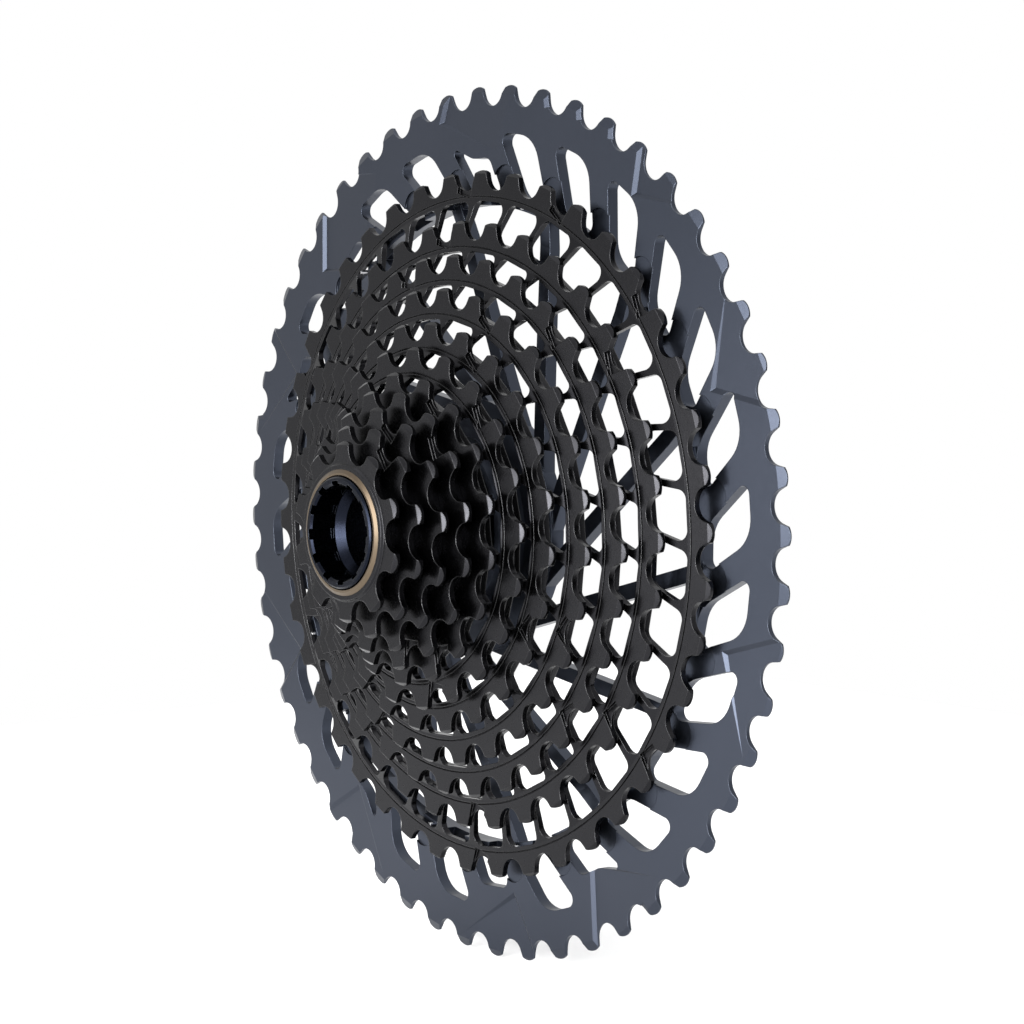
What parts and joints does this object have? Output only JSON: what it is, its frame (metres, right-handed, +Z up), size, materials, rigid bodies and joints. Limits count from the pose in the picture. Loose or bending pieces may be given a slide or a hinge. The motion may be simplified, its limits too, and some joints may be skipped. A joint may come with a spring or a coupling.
{
  "type": "bicycle cassette",
  "caption": "Bicycle rear cassette: a cone of toothed chain sprockets on a splined hub, clamped by a central threaded lock tube.",
  "frame": {"origin": "on the spin axis, in the flat face of the hub that rests on the driver body shoulder", "axes": "+Y along the spin axis towards the wheel (inboard), the smallest sprocket faces -Y, +Z up"},
  "size_m": [0.2124, 0.0466, 0.2124],
  "materials": {
    "big_sprocket": "satin slate-blue anodised",
    "black_steel": "satin black coated",
    "pin_steel": "bare ground",
    "washer_steel": "bare",
    "bronze": "polished pale bronze",
    "lock_tube": "satin blue-black anodised"
  },
  "bodies": {
    "cluster": {"sprocket_52t": "big_sprocket", "sprocket_42t": "black_steel", "sprocket_36t": "black_steel", "sprocket_32t": "black_steel", "sprocket_28t": "black_steel", "sprocket_24t": "black_steel", "sprocket_21t": "black_steel", "sprocket_18t": "black_steel", "sprocket_16t": "black_steel", "sprocket_14t": "black_steel", "sprocket_12t": "black_steel", "sprocket_10t": "black_steel", "spacer_12_10": "black_steel", "spacer_14_12": "black_steel", "spacer_16_14": "black_steel", "spacer_18_16": "black_steel", "ring_pins": "pin_steel", "thrust_washer": "washer_steel", "retainer_ring": "bronze"},
    "lock_tube": {"lock_tube": "lock_tube"}
  },
  "joints": [
    {"name": "lock_tube_spin", "type": "hinge", "parent": "cluster", "child": "lock_tube", "pos_m": [0, -0.027, 0], "axis": [0, 1, 0], "continuous": true}
  ]
}
